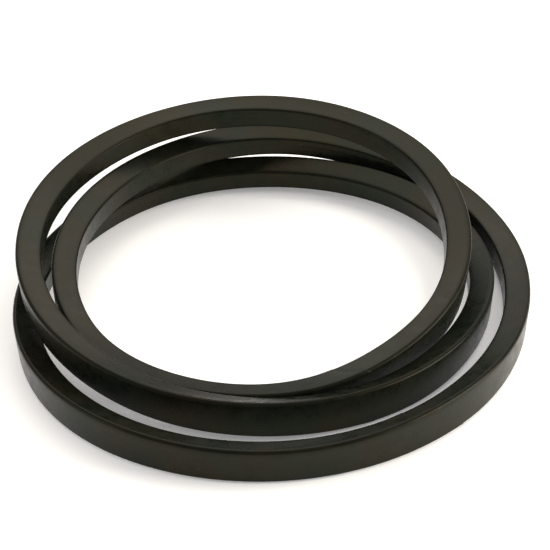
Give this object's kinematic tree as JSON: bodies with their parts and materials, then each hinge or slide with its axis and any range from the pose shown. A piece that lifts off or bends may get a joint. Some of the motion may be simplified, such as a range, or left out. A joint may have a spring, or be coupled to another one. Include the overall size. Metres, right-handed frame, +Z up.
{
  "type": "v belt",
  "caption": "Endless wrapped rubber V-belt of trapezoid section, coiled into three turns as it is stored.",
  "frame": {"origin": "middle of the coil's bounding box, on the surface that the coil lies on", "axes": "+Z up, along the coil's shortest extent; +Y along its longest extent, towards the side where the upper turn crosses the others at the right-hand back"},
  "size_m": [0.2318, 0.2643, 0.0524],
  "materials": {
    "cover_fabric": "matt rubberised fabric",
    "tension_rubber": "matt",
    "cushion_rubber": "matt",
    "polyester_cord": "dipped twisted cord",
    "compression_rubber": "matt"
  },
  "bodies": {
    "root": {"outer_cover_cloth_1": "cover_fabric", "outer_cover_cloth_2": "cover_fabric", "outer_cover_cloth_3": "cover_fabric", "inner_cover_cloth_1": "cover_fabric", "inner_cover_cloth_2": "cover_fabric", "inner_cover_cloth_3": "cover_fabric", "tension_rubber": "tension_rubber", "cord_cushion_rubber": "cushion_rubber", "tensile_cord": "polyester_cord", "compression_rubber": "compression_rubber"}
  },
  "joints": []
}
